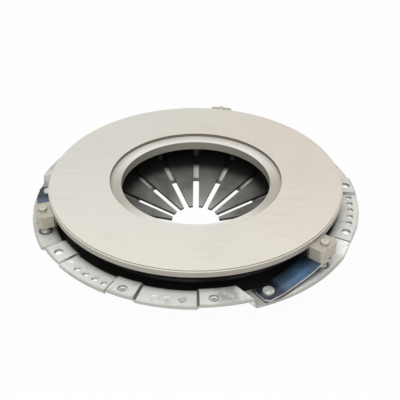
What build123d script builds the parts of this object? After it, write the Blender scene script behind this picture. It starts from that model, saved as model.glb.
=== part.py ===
from build123d import *
import os
from math import cos, sin, tan, radians, degrees, atan2, hypot

# Clutch pressure plate: bolted cover, diaphragm spring, straps and ring. Millimetres, +Z to the flywheel.
# The origin is on the axis, in the plane of the raised mounting pads.

# Cover pressing
COVER_R = 184.0
SHEET = 3.5
EDGE_WIDTH = 25.5
WALL_DRAFT = 1.1
CHANNEL_WIDTH = 7.4
SEGMENT_LEVEL = -2.5
STRAP_LEVEL = -9.6
WALL_CUT_Z = -14.6
CHANNEL_Z = -20.5
OPENING_R = 74.0
LIP_WIDTH = 6.0
LIP_BEND_Z = -27.4
LIP_Z = -28.0
BEAD_WIDTH = 20.0
BEAD_RISE_WIDTH = 22.0
TOP_BEND = 4.0
WALL_R = COVER_R - EDGE_WIDTH
WALL_FOOT_R = WALL_R - WALL_DRAFT
CHANNEL_R = WALL_FOOT_R - CHANNEL_WIDTH
BEAD_OUTER_R = CHANNEL_R - BEAD_RISE_WIDTH
BEAD_INNER_R = BEAD_OUTER_R - BEAD_WIDTH
LIP_BEND_R = OPENING_R + LIP_WIDTH

# Pads, holes and punch marks on the cover's edge, for the first of three thirds
THIRD_ANGLE = 120.0
PAD_A = (212.5, 221.4)
PAD_B = (242.4, 251.3)
PAD_C = (271.6, 288.0)
RAMP = 0.7
STRAP_RAMP_START = 1.2
STRAP_RAMP_END = 4.6
MOUNT_INSET = 9.0
MOUNT_PCD = 2 * (COVER_R - MOUNT_INSET)
MOUNT_HOLES = {217.0: 4.2, 246.6: 4.4, 276.2: 4.6}
PUNCH_INSET = 9.5
PUNCH_CIRCLE_R = COVER_R - PUNCH_INSET
PUNCH_R = 3.0
PUNCH_ANGLES = (227.7, 231.8, 235.7, 239.6)
FIRST_PUNCH_ANGLE = 223.6
DIMPLE_R = 4.0
DIMPLE_DEPTH = 0.9
LONE_PUNCH_ANGLE = 266.3
LONE_PUNCH_R = 3.5
FAINT_DIMPLE_ANGLES = (257.3, 261.3)
FAINT_DIMPLE_R = 3.2
TAIL_WINDOW_R = 6.2

# Pressure ring
RING_INSET = 20.5
RING_R = COVER_R - RING_INSET
FACE_Z = 24.5
RIM_STEP = 1.3
RIM_STEP_DEPTH = 1.5
RIM_THICKNESS = 8.0
BORE_R = 83.5
RECESS_WIDTH = 12.6
RECESS_R = BORE_R + RECESS_WIDTH
RECESS_DEPTH = 4.6
BORE_WALL = 10.3
BODY_GAP = 6.9
BODY_R = WALL_FOOT_R - BODY_GAP
HEEL_WIDTH = 22.5
HEEL_INNER_R = BODY_R - HEEL_WIDTH
HEEL_Z = 5.0
RIDGE_INSET = 7.5
RIDGE_R = BODY_R - RIDGE_INSET
RIDGE_TIP = 2.4
RIDGE_ROOT = 6.0

# Lugs and strap stations
STATION_ANGLES = {"a": 319.4, "b": 79.4, "c": 199.4}
LUG_BOLT_INSET = 12.0
LUG_BOLT_R = COVER_R - LUG_BOLT_INSET
LUG_MARGIN = 8.0
LUG_OUTER_R = LUG_BOLT_R + LUG_MARGIN
LUG_WIDTH = 27.0
LUG_CORNER = 4.5
LUG_DROP = 6.5
LUG_HEIGHT = 15.0

# Drive straps
STRAP_SWEEP = 24.4
SEAT_OFFSET = 0.6
STRAP_SEAT_R = LUG_BOLT_R - SEAT_OFFSET
LEAF_THICKNESS = 0.7
LEAF_COUNT = 3
STRAP_WIDTH = 22.0
SEAT_END = 10.5
LUG_END = 7.0
STRAP_CHAMFER = 4.5
SEAT_FLAT = 9.0
LUG_FLAT = 6.5
STRAP_GAP = 0.05

# Rivets
LUG_RIVET_SHANK_R = 4.0
LUG_RIVET_HEAD_R = 4.5
LUG_RIVET_HEAD = 3.4
LUG_RIVET_DIMPLE_R = 1.0
LUG_RIVET_DIMPLE = 0.6
LUG_RIVET_TAIL_DROP = 5.0
LUG_RIVET_CHAMFER = 0.5
LUG_TAIL_CHAMFER = 0.8
SEAT_RIVET_SHANK_R = 4.0
SEAT_RIVET_HEAD_R = 6.0
SEAT_RIVET_HEAD = 2.0
SEAT_RIVET_TAIL_R = 5.5
SEAT_RIVET_TAIL = 2.6
SEAT_HEAD_CHAMFER = 0.5
SEAT_TAIL_CHAMFER = 0.9

# Diaphragm spring
FINGER_COUNT = 15
FIRST_SLOT = 90.0
TIP_R = 27.6
TIP_Z = -35.3
CONE_ANGLE = 16.0
SPRING_THICKNESS = 3.2
SPRING_GAP = 4.0
SPRING_R = CHANNEL_R - SPRING_GAP
SLOT_WIDTH = 7.0

# Pivot rings and their rivets
PIVOT_INSET = 25.0
PIVOT_R = SPRING_R - PIVOT_INSET
WIRE_R = 2.0
WIRE_SIDES = 10
PIVOT_GAP = 0.02
PIVOT_RIVET_INSET = 7.0
PIVOT_RIVET_R = PIVOT_R - PIVOT_RIVET_INSET
PIVOT_SHANK_R = 4.5
PIVOT_HEAD_R = 9.6
PIVOT_HEAD = 3.0
PIVOT_HEAD_CHAMFER = 1.0
PIVOT_TAIL_R = 6.5
PIVOT_TAIL = 3.0

# Windows at the slots' ends, where the pivot rivets pass
WINDOW_WIDTH = 13.0
WINDOW_LENGTH = 19.1
WINDOW_INSET = 1.4
WINDOW_OUTER_R = PIVOT_R - WINDOW_INSET
WINDOW_INNER_R = WINDOW_OUTER_R - WINDOW_LENGTH
WINDOW_CORNER = 2.5

# How far a cutting tool reaches past what it cuts
CUT_CLEAR = 1.0

CONE_SLOPE = tan(radians(CONE_ANGLE))
SKIN_HEIGHT = SPRING_THICKNESS / cos(radians(CONE_ANGLE))
WIRE_RISE = WIRE_R / cos(radians(CONE_ANGLE)) + PIVOT_GAP
LUG_TOP_Z = FACE_Z - LUG_DROP
LUG_UNDER_Z = LUG_TOP_Z - LUG_HEIGHT
PACK = LEAF_THICKNESS * LEAF_COUNT
PACK_LUG_Z = LUG_UNDER_Z - STRAP_GAP - PACK
RIM_UNDER_Z = FACE_Z - RIM_THICKNESS
BORE_UNDER_Z = FACE_Z - RECESS_DEPTH - BORE_WALL


def spring_top(radius):
    """Height of the diaphragm's upper skin at a radius."""
    return TIP_Z + (radius - TIP_R) * CONE_SLOPE


def turned(shape, angle):
    """The shape turned about the main axis."""
    return Rot(0, 0, angle) * shape


def profile(points):
    """A face in the XZ plane from (radius, height) points."""
    line = Polyline(*[(r, 0, z) for r, z in points], close=True)
    return make_face(line)


def rounded(face, r, z, radius):
    """The face with the corner nearest (r, z) rounded."""
    corner = min(face.vertices(), key=lambda v: hypot(v.X - r, v.Z - z))
    return Plane.XZ * fillet_2d_local(face, corner, radius)


def fillet_2d_local(face, corner, radius):
    """The face in its own plane with one corner rounded."""
    local = Plane.XZ.to_local_coords(face)
    target = Plane.XZ.to_local_coords(Vector(corner.X, corner.Y, corner.Z))
    near = min(local.vertices(), key=lambda v: (Vector(v.X, v.Y, v.Z) - target).length)
    return fillet(near, radius)


def spun(face):
    """A full revolve of a profile about the main axis."""
    return revolve(face, Axis.Z, 360)


def sector(face, start, end):
    """A profile revolved from one angle to another."""
    return turned(revolve(face, Axis.Z, end - start), start)


def disc(radius, low, high):
    """An upright cylinder on the main axis between two heights."""
    return Pos(0, 0, low) * Cylinder(radius, high - low, align=(Align.CENTER, Align.CENTER, Align.MIN))


def post(angle, distance, radius, low, high):
    """An upright cylinder at polar coordinates."""
    return turned(Pos(distance, 0, 0) * disc(radius, low, high), angle)


def ring_body():
    face = profile([
        (BORE_R, BORE_UNDER_Z), (BORE_R, FACE_Z - RECESS_DEPTH), (RECESS_R, FACE_Z - RECESS_DEPTH),
        (RECESS_R, FACE_Z), (RING_R - RIM_STEP, FACE_Z), (RING_R - RIM_STEP, FACE_Z - RIM_STEP_DEPTH),
        (RING_R, FACE_Z - RIM_STEP_DEPTH), (RING_R, RIM_UNDER_Z), (BODY_R, RIM_UNDER_Z),
        (BODY_R, HEEL_Z), (RIDGE_R + RIDGE_ROOT, HEEL_Z), (RIDGE_R + RIDGE_TIP, ridge_z()),
        (RIDGE_R - RIDGE_TIP, ridge_z()), (RIDGE_R - RIDGE_ROOT, HEEL_Z), (HEEL_INNER_R, HEEL_Z),
        (HEEL_INNER_R - RIDGE_ROOT, BORE_UNDER_Z),
    ])
    return spun(face)


def ridge_z():
    """Height of the ridge where it bears on the diaphragm."""
    return spring_top(RIDGE_R + RIDGE_TIP) + PIVOT_GAP


def lug(angle):
    inner = BODY_R - RIDGE_ROOT
    block = Pos((inner + LUG_OUTER_R) / 2, 0, LUG_UNDER_Z) * Box(
        LUG_OUTER_R - inner, LUG_WIDTH, LUG_HEIGHT, align=(Align.CENTER, Align.CENTER, Align.MIN))
    outer = block.edges().filter_by(Axis.Z).sort_by(Axis.X)[-2:]
    block = fillet(outer, LUG_CORNER)
    return turned(block, angle)


def pressure_ring():
    body = ring_body()
    for angle in STATION_ANGLES.values():
        body = body + lug(angle)
    for angle in STATION_ANGLES.values():
        body = body - post(
            angle, LUG_BOLT_R, LUG_RIVET_SHANK_R, LUG_UNDER_Z - CUT_CLEAR, LUG_TOP_Z + CUT_CLEAR)
    return body.clean()


def flange_section(level):
    """The cover's edge, bend and upper wall with its top at a level."""
    face = profile([
        (COVER_R, level), (WALL_R, level), (WALL_FOOT_R, WALL_CUT_Z), (WALL_FOOT_R + SHEET, WALL_CUT_Z),
        (WALL_R + SHEET, level - SHEET), (COVER_R, level - SHEET),
    ])
    return rounded(face, WALL_R, level, TOP_BEND)


def ramp(start, end, level_start, level_end):
    """The cover's edge changing level between two angles."""
    first = turned(flange_section(level_start), start)
    second = turned(flange_section(level_end), end)
    return Solid.make_loft([first.faces()[0].outer_wire(), second.faces()[0].outer_wire()], True)


def station_edges():
    """Angles and levels around one third of the cover's edge."""
    return [
        (PAD_A, 0.0), ((PAD_A[1] + RAMP, PAD_B[0] - RAMP), SEGMENT_LEVEL),
        (PAD_B, 0.0), ((PAD_B[1] + RAMP, PAD_C[0] - RAMP), SEGMENT_LEVEL),
        (PAD_C, 0.0), ((PAD_C[1] + STRAP_RAMP_START, PAD_A[0] + THIRD_ANGLE - STRAP_RAMP_END), STRAP_LEVEL),
    ]


def edge_third():
    """One third of the cover's edge as a list of solids."""
    spans = station_edges()
    pieces = [sector(flange_section(level), a, b) for (a, b), level in spans]
    following = spans[1:] + [((PAD_A[0] + THIRD_ANGLE, PAD_A[1] + THIRD_ANGLE), 0.0)]
    for ((_, end), level), ((start, _), target) in zip(spans, following):
        pieces.append(ramp(end, start, level, target))
    return pieces


def dome():
    """The cover below its edge: wall foot, channel, pivot bead and lip."""
    bead_z = bead_level()
    face = profile([
        (WALL_FOOT_R, WALL_CUT_Z), (WALL_FOOT_R - 1.4, CHANNEL_Z),
        (CHANNEL_R, CHANNEL_Z),
        (BEAD_OUTER_R, bead_z), (BEAD_INNER_R, bead_z), (LIP_BEND_R, LIP_BEND_Z), (OPENING_R, LIP_Z),
        (OPENING_R, LIP_Z - SHEET), (LIP_BEND_R - 0.8, LIP_BEND_Z - SHEET - 0.2),
        (BEAD_INNER_R - 0.6, bead_z - SHEET), (BEAD_OUTER_R + 0.4, bead_z - SHEET),
        (CHANNEL_R, CHANNEL_Z - SHEET), (WALL_FOOT_R, CHANNEL_Z - SHEET),
        (WALL_FOOT_R + SHEET, CHANNEL_Z + 1), (WALL_FOOT_R + SHEET, WALL_CUT_Z),
    ])
    return spun(face)


def bead_level():
    """Height of the cover's floor under the lower pivot ring."""
    return lower_wire_z() - WIRE_R - PIVOT_GAP


def upper_wire_z():
    return spring_top(PIVOT_R) + WIRE_RISE


def lower_wire_z():
    return spring_top(PIVOT_R) - SKIN_HEIGHT - WIRE_RISE


def edge_holes():
    """The tools that cut one third of the edge: mounting, balance and tail holes."""
    low = STRAP_LEVEL - 3 * SHEET
    tools = [post(a, MOUNT_PCD / 2, r, low, SHEET) for a, r in MOUNT_HOLES.items()]
    tools += [post(a, PUNCH_CIRCLE_R, PUNCH_R, low, SHEET) for a in PUNCH_ANGLES]
    tools.append(post(LONE_PUNCH_ANGLE, PUNCH_CIRCLE_R, LONE_PUNCH_R, low, SHEET))
    depth = SEGMENT_LEVEL - DIMPLE_DEPTH
    tools += [post(a, PUNCH_CIRCLE_R, FAINT_DIMPLE_R, depth, SHEET) for a in FAINT_DIMPLE_ANGLES]
    return tools


def first_punch(index):
    """The hole beside the first pad, left blind on the first third."""
    if index == 0:
        return post(FIRST_PUNCH_ANGLE, PUNCH_CIRCLE_R, DIMPLE_R, SEGMENT_LEVEL - DIMPLE_DEPTH, SHEET)
    return post(FIRST_PUNCH_ANGLE, PUNCH_CIRCLE_R, PUNCH_R, STRAP_LEVEL, SHEET)


def cover_pressing():
    pieces = [dome()]
    cuts = []
    for index in range(3):
        pieces += [turned(piece, THIRD_ANGLE * index) for piece in edge_third()]
        cuts += [turned(tool, THIRD_ANGLE * index) for tool in edge_holes() + [first_punch(index)]]
    body = pieces[0].fuse(*pieces[1:])
    low = CHANNEL_Z - 2 * SHEET
    for angle in STATION_ANGLES.values():
        cuts.append(post(angle, LUG_BOLT_R, TAIL_WINDOW_R, low, SHEET))
        cuts.append(post(angle - STRAP_SWEEP, STRAP_SEAT_R, SEAT_RIVET_SHANK_R, low, SHEET))
    for angle in slot_angles():
        cuts.append(post(angle, PIVOT_RIVET_R, PIVOT_SHANK_R, low, SHEET))
    return body.cut(*cuts).clean()


def slot_angles():
    return [FIRST_SLOT + 360 / FINGER_COUNT * i for i in range(FINGER_COUNT)]


def spring_cone():
    """The spring before its slots are cut."""
    square = SPRING_THICKNESS * sin(radians(CONE_ANGLE))
    drop = SPRING_THICKNESS * cos(radians(CONE_ANGLE))
    face = profile([
        (TIP_R, spring_top(TIP_R)), (SPRING_R, spring_top(SPRING_R)),
        (SPRING_R + square, spring_top(SPRING_R) - drop), (TIP_R + square, spring_top(TIP_R) - drop),
    ])
    return spun(face)


def slot_tool(angle):
    """One slot between two fingers with its window."""
    high = FACE_Z
    low = TIP_Z * 2
    slit = Pos(WINDOW_INNER_R / 2 + 5, 0, low) * Box(
        WINDOW_INNER_R + 10, SLOT_WIDTH, high - low, align=(Align.CENTER, Align.CENTER, Align.MIN))
    length = WINDOW_OUTER_R - WINDOW_INNER_R
    window = Pos((WINDOW_OUTER_R + WINDOW_INNER_R) / 2, 0, low) * Box(
        length, WINDOW_WIDTH, high - low, align=(Align.CENTER, Align.CENTER, Align.MIN))
    window = chamfer(window.edges().filter_by(Axis.Z), WINDOW_CORNER)
    return turned(slit + window, angle)


def diaphragm_spring():
    return spring_cone().cut(*[slot_tool(angle) for angle in slot_angles()]).clean()


def pivot_ring(height):
    """A wire ring at the pivot circle, its section near enough round."""
    steps = [radians(360 / WIRE_SIDES * (i + 0.5)) for i in range(WIRE_SIDES)]
    return spun(profile([(PIVOT_R + WIRE_R * cos(a), height + WIRE_R * sin(a)) for a in steps]))


def pivot_rivet(angle):
    """One pivot rivet: tail under the cover, shank through the window, head over the ring."""
    floor = bead_level() - SHEET
    head_z = upper_wire_z() + WIRE_R + PIVOT_GAP
    tail = post(angle, PIVOT_RIVET_R, PIVOT_TAIL_R, floor - PIVOT_TAIL, floor)
    shank = post(angle, PIVOT_RIVET_R, PIVOT_SHANK_R, floor, head_z)
    head = post(angle, PIVOT_RIVET_R, PIVOT_HEAD_R, head_z, head_z + PIVOT_HEAD)
    return tail + shank + chamfer(head.edges().group_by(Axis.Z)[-1], PIVOT_HEAD_CHAMFER)


def pivot_rivets():
    return Compound(children=[pivot_rivet(angle) for angle in slot_angles()])


def strap_frame(angle):
    """The cover rivet's place, the strap's heading and its rivet spacing in plan."""
    seat = radians(angle - STRAP_SWEEP)
    end = radians(angle)
    x, y = STRAP_SEAT_R * cos(seat), STRAP_SEAT_R * sin(seat)
    dx, dy = LUG_BOLT_R * cos(end) - x, LUG_BOLT_R * sin(end) - y
    return x, y, degrees(atan2(dy, dx)), hypot(dx, dy)


def strap_side(layer, length):
    """One leaf seen from its side: flat on the seat, sloping, flat under the lug."""
    low = STRAP_LEVEL + layer * LEAF_THICKNESS
    high = PACK_LUG_Z + layer * LEAF_THICKNESS
    under = [(-SEAT_END, low), (SEAT_FLAT, low), (length - LUG_FLAT, high), (length + LUG_END, high)]
    over = [(s, z + LEAF_THICKNESS) for s, z in reversed(under)]
    return profile(under + over)


def strap_plan(length):
    """A leaf's outline from above, with cut corners."""
    low = STRAP_LEVEL - SHEET
    block = Pos(-SEAT_END, 0, low) * Box(
        SEAT_END + length + LUG_END, STRAP_WIDTH, 8 * SHEET, align=(Align.MIN, Align.CENTER, Align.MIN))
    block = chamfer(block.edges().filter_by(Axis.Z), STRAP_CHAMFER)
    for s in (0, length):
        block = block - Pos(s, 0, low) * disc(LUG_RIVET_SHANK_R + STRAP_GAP, -CUT_CLEAR, 9 * SHEET)
    return block


def strap_leaf(angle, layer):
    x, y, heading, length = strap_frame(angle)
    sheet = extrude(strap_side(layer, length), STRAP_WIDTH / 2, both=True)
    return Pos(x, y, 0) * Rot(0, 0, heading) * (sheet & strap_plan(length))


def lug_rivet(angle):
    """A rivet with its head on the lug and its tail below the strap leaves."""
    tail_z = STRAP_LEVEL - LUG_RIVET_TAIL_DROP
    shank = post(angle, LUG_BOLT_R, LUG_RIVET_SHANK_R, PACK_LUG_Z, LUG_TOP_Z)
    head = post(angle, LUG_BOLT_R, LUG_RIVET_HEAD_R, LUG_TOP_Z, LUG_TOP_Z + LUG_RIVET_HEAD)
    head = chamfer(head.edges().group_by(Axis.Z)[-1], LUG_RIVET_CHAMFER)
    tail = post(angle, LUG_BOLT_R, LUG_RIVET_HEAD_R, tail_z, PACK_LUG_Z - STRAP_GAP)
    tail = chamfer(tail.edges().group_by(Axis.Z)[0], LUG_TAIL_CHAMFER)
    neck = post(angle, LUG_BOLT_R, LUG_RIVET_SHANK_R, PACK_LUG_Z - 2 * STRAP_GAP, PACK_LUG_Z)
    top = LUG_TOP_Z + LUG_RIVET_HEAD
    dimple = post(angle, LUG_BOLT_R, LUG_RIVET_DIMPLE_R, top - LUG_RIVET_DIMPLE, top + CUT_CLEAR)
    return shank + neck + tail + head - dimple


def seat_rivet(angle):
    """A flat-headed rivet holding the strap leaves to the cover."""
    place = angle - STRAP_SWEEP
    top = STRAP_LEVEL + PACK
    floor = STRAP_LEVEL - SHEET
    head = post(place, STRAP_SEAT_R, SEAT_RIVET_HEAD_R, top, top + SEAT_RIVET_HEAD)
    head = chamfer(head.edges().group_by(Axis.Z)[-1], SEAT_HEAD_CHAMFER)
    tail = post(place, STRAP_SEAT_R, SEAT_RIVET_TAIL_R, floor - SEAT_RIVET_TAIL, floor)
    tail = chamfer(tail.edges().group_by(Axis.Z)[0], SEAT_TAIL_CHAMFER)
    return post(place, STRAP_SEAT_R, SEAT_RIVET_SHANK_R, floor, top) + head + tail


def save(shape, name):
    export_step(shape, "parts/" + name + ".step")


def main():
    os.makedirs("parts", exist_ok=True)
    save(cover_pressing(), "cover_pressing")
    save(pressure_ring(), "pressure_ring")
    save(diaphragm_spring(), "diaphragm_spring")
    save(pivot_ring(upper_wire_z()), "upper_pivot_ring")
    save(pivot_ring(lower_wire_z()), "lower_pivot_ring")
    save(pivot_rivets(), "pivot_rivets")
    for key, angle in STATION_ANGLES.items():
        for layer, name in enumerate(("lower", "middle", "upper")):
            save(strap_leaf(angle, layer), "strap_" + key + "_" + name + "_leaf")
        save(lug_rivet(angle), "lug_rivet_" + key)
        save(seat_rivet(angle), "cover_strap_rivet_" + key)


main()
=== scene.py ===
import math
import bmesh
import bpy
from bpy.props import FloatProperty, FloatVectorProperty, IntProperty, PointerProperty
from mathutils import Matrix, Vector


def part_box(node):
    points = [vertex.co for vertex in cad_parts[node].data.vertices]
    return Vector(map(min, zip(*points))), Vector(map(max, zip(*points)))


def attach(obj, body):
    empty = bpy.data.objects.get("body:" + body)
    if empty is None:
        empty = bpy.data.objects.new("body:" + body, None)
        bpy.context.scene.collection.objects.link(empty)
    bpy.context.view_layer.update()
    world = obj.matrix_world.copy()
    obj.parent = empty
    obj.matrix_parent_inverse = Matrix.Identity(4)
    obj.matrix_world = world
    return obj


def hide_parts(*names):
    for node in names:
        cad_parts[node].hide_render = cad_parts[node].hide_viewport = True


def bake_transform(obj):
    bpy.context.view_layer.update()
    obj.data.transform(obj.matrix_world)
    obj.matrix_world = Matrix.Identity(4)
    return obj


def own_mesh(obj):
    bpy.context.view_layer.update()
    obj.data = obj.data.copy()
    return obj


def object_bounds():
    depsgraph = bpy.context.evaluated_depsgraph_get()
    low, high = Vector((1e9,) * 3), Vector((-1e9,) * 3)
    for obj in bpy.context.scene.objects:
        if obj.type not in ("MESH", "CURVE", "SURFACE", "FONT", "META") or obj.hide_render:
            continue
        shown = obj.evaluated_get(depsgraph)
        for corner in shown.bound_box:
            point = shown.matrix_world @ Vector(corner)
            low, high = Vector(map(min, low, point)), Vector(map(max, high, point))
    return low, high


bl_info = {
    "name": "Clutch Pressure Plate",
    "version": (1, 0, 0),
    "blender": (4, 5, 0),
    "location": "View3D > Sidebar > Clutch",
    "description": "Builds a clutch pressure plate with its cover, diaphragm spring, straps and rivets",
    "category": "Object",
}

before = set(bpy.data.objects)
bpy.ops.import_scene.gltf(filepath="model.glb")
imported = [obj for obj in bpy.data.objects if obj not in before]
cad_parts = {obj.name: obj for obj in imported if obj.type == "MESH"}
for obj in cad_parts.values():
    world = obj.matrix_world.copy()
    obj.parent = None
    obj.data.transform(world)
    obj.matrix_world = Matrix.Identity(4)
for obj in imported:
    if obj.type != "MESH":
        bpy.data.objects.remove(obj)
CAD_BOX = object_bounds()
MM = 0.001
FULL_TURN = 2 * math.pi
COVER_BODY = "cover"
PLATE_BODY = "pressure_plate"

FACE_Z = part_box("pressure_ring")[1][2]
COVER_RADIUS = 183.85 * MM
PUNCH_CIRCLE = 174.5 * MM
STATION_PITCH = 120.0
THIRDS = [STATION_PITCH * i for i in range(3)]
STATIONS = {"a": math.radians(319.4), "b": math.radians(79.4), "c": math.radians(199.4)}
LEAVES = ("lower", "middle", "upper")
LUG_TOP_Z = FACE_Z - 6.5 * MM
LUG_UNDER_Z = LUG_TOP_Z - 15.0 * MM
LUG_BOLT_R = 172.0 * MM
SEAT_R = 171.4 * MM
SEAT_SWEEP = math.radians(24.4)
STRAP_LEVEL = -9.6 * MM


# ---------------- mesh helpers

def polar(radius, angle, height=0.0):
    return Vector((radius * math.cos(angle), radius * math.sin(angle), height))


def ease(share):
    """A share of a way, clamped, that starts and ends gently."""
    share = min(1.0, max(0.0, share))
    return share * share * (3 - 2 * share)


def heights(node):
    """The lowest and highest z of a CAD node."""
    low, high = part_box(node)
    return low[2], high[2]


def give(thing, **settings):
    """Gives a thing its settings, and gives the thing back."""
    for key, value in settings.items():
        setattr(thing, key, value)
    return thing


def show(name, data):
    """A new object, put in the scene."""
    obj = bpy.data.objects.new(name, data)
    bpy.context.scene.collection.objects.link(obj)
    return obj


def mesh_of(name, bm):
    """Turns a bmesh into a mesh and frees it."""
    mesh = bpy.data.meshes.new(name)
    bm.to_mesh(mesh)
    bm.free()
    return mesh


def everything(bm):
    return bm.verts[:] + bm.edges[:] + bm.faces[:]


def move(bm, place):
    bmesh.ops.translate(bm, verts=bm.verts, vec=place)


def rotate(bm, angle, axis="Z"):
    """Turns a mesh about an axis through the origin."""
    bmesh.ops.rotate(bm, verts=bm.verts, cent=(0, 0, 0), matrix=Matrix.Rotation(angle, 3, axis))


def merge(bm, distance):
    bmesh.ops.remove_doubles(bm, verts=bm.verts, dist=distance)


def cut(bm, geometry, point, normal, near=1e-7):
    """Cuts geometry along a plane and keeps both sides."""
    bmesh.ops.bisect_plane(bm, geom=geometry, dist=near, plane_co=point, plane_no=normal)


def face_out(bm):
    bmesh.ops.recalc_face_normals(bm, faces=bm.faces)


def spin(bm, geometry, angle, steps, **options):
    """Sweeps or repeats geometry round the main axis."""
    bmesh.ops.spin(bm, geom=geometry, cent=(0, 0, 0), axis=(0, 0, 1), dvec=(0, 0, 0), angle=angle,
                   steps=steps, **options)


def bevel(bm, geometry, offset, segments, affect="EDGES", **options):
    """Rounds edges or cuts corners."""
    bmesh.ops.bevel(bm, geom=geometry, offset=offset, segments=segments, profile=0.5, affect=affect,
                    material=-1, **options)


def polyline(bm, places, closed=False):
    """Joins places with edges, and gives back the corners and edges."""
    verts = [bm.verts.new(place) for place in places]
    pairs = list(zip(verts, verts[1:]))
    if closed:
        pairs.append((verts[-1], verts[0]))
    return verts + [bm.edges.new(pair) for pair in pairs]


def profile_ring(bm, points, steps, closed=True):
    """Spins a profile of (radius, height) points once round the main axis."""
    profile = polyline(bm, [(r, 0, z) for r, z in points], closed)
    spin(bm, profile, FULL_TURN, steps, use_merge=True)


def outline(base, *points):
    """Points of (radius, height) from millimetres, with the heights from a base."""
    return [(radius * MM, base + height * MM) for radius, height in points]


def lathe(bm, points, place, steps=40):
    """Spins a half section, both ends on its axis, and puts it at a place."""
    part = bmesh.new()
    profile_ring(part, points, steps, closed=False)
    merge(part, 0.002 * MM)
    face_out(part)
    move(part, place)
    add_mesh(bm, part)


def add_mesh(bm, part):
    """Adds one bmesh to another and frees it."""
    mesh = mesh_of("part", part)
    bm.from_mesh(mesh)
    bpy.data.meshes.remove(mesh)


def piece(name, bm, materials, sharp=35):
    """A finished object from a bmesh, smooth apart from edges sharper than the angle."""
    mesh = mesh_of(name, bm)
    shade(mesh, sharp)
    obj = show(name, mesh)
    for material in materials:
        mesh.materials.append(material)
    return obj


def shade(mesh, sharp):
    mesh.shade_smooth()
    mesh.set_sharp_from_angle(angle=math.radians(sharp))


def fit(obj, node, body):
    """Puts a piece on its body in place of its CAD node."""
    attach(obj, body)
    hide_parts(node)


def modify(obj, name, kind, **settings):
    """Adds a modifier with its settings."""
    give(obj.modifiers.new(name, kind), **settings)


def soften(obj, width):
    """Rounds a piece's sharp edges with a live bevel."""
    modify(obj, "Softened edges", "BEVEL", width=width, segments=2, limit_method="ANGLE",
           angle_limit=math.radians(35), harden_normals=True, use_clamp_overlap=True)


def thicken(obj, thickness, rim=0):
    """Gives a sheet its thickness with a live solidify, half to each side."""
    modify(obj, "Sheet thickness", "SOLIDIFY", thickness=thickness, offset=0.0, use_even_offset=True,
           material_offset_rim=rim)


def steady(obj):
    """Keeps a piece's flats shaded flat, by the area of the faces round each corner."""
    modify(obj, "Steady shading", "WEIGHTED_NORMAL", keep_sharp=True, weight=80)


def punch(obj, cutters):
    """Cuts closed tools out of a piece and drops them."""
    tool = show("cutters", mesh_of("cutters", cutters))
    modify(obj, "Punched holes", "BOOLEAN", operation="DIFFERENCE", solver="EXACT", object=tool)
    bpy.context.view_layer.update()
    evaluated = obj.evaluated_get(bpy.context.evaluated_depsgraph_get())
    punched = bpy.data.meshes.new_from_object(evaluated)
    obj.modifiers.clear()
    obj.data = punched
    bpy.data.objects.remove(tool)


# ---------------- material helpers

class Nodes:
    """A node tree being built node by node."""

    def __init__(self, tree):
        self.tree = tree

    def node(self, kind, **settings):
        return give(self.tree.nodes.new(kind), **settings)

    def link(self, source, target):
        self.tree.links.new(source, target)

    def feed(self, value, target):
        """Sets an input to a value, or links another node's output to it."""
        if isinstance(value, bpy.types.NodeSocket):
            self.link(value, target)
        else:
            target.default_value = value

    def fill(self, made, *values):
        """Feeds a node's inputs in order and gives back its output."""
        for value, target in zip(values, made.inputs):
            self.feed(value, target)
        return made.outputs[0]

    def math(self, operation, first, second=0.0, third=0.0):
        """One Math node; each input is a socket or a number."""
        return self.fill(self.node("ShaderNodeMath", operation=operation), first, second, third)

    def chain(self, operation, values):
        total = values[0]
        for value in values[1:]:
            total = self.math(operation, total, value)
        return total

    def times(self, *values):
        return self.chain("MULTIPLY", values)

    def plus(self, *values):
        return self.chain("ADD", values)

    def highest(self, *values):
        return self.chain("MAXIMUM", values)

    def seen(self):
        """One where a camera, glossy or transmission ray arrives."""
        path = self.node("ShaderNodeLightPath")
        kinds = ("Camera", "Glossy", "Transmission")
        return self.highest(*(path.outputs["Is " + kind + " Ray"] for kind in kinds))


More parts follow.
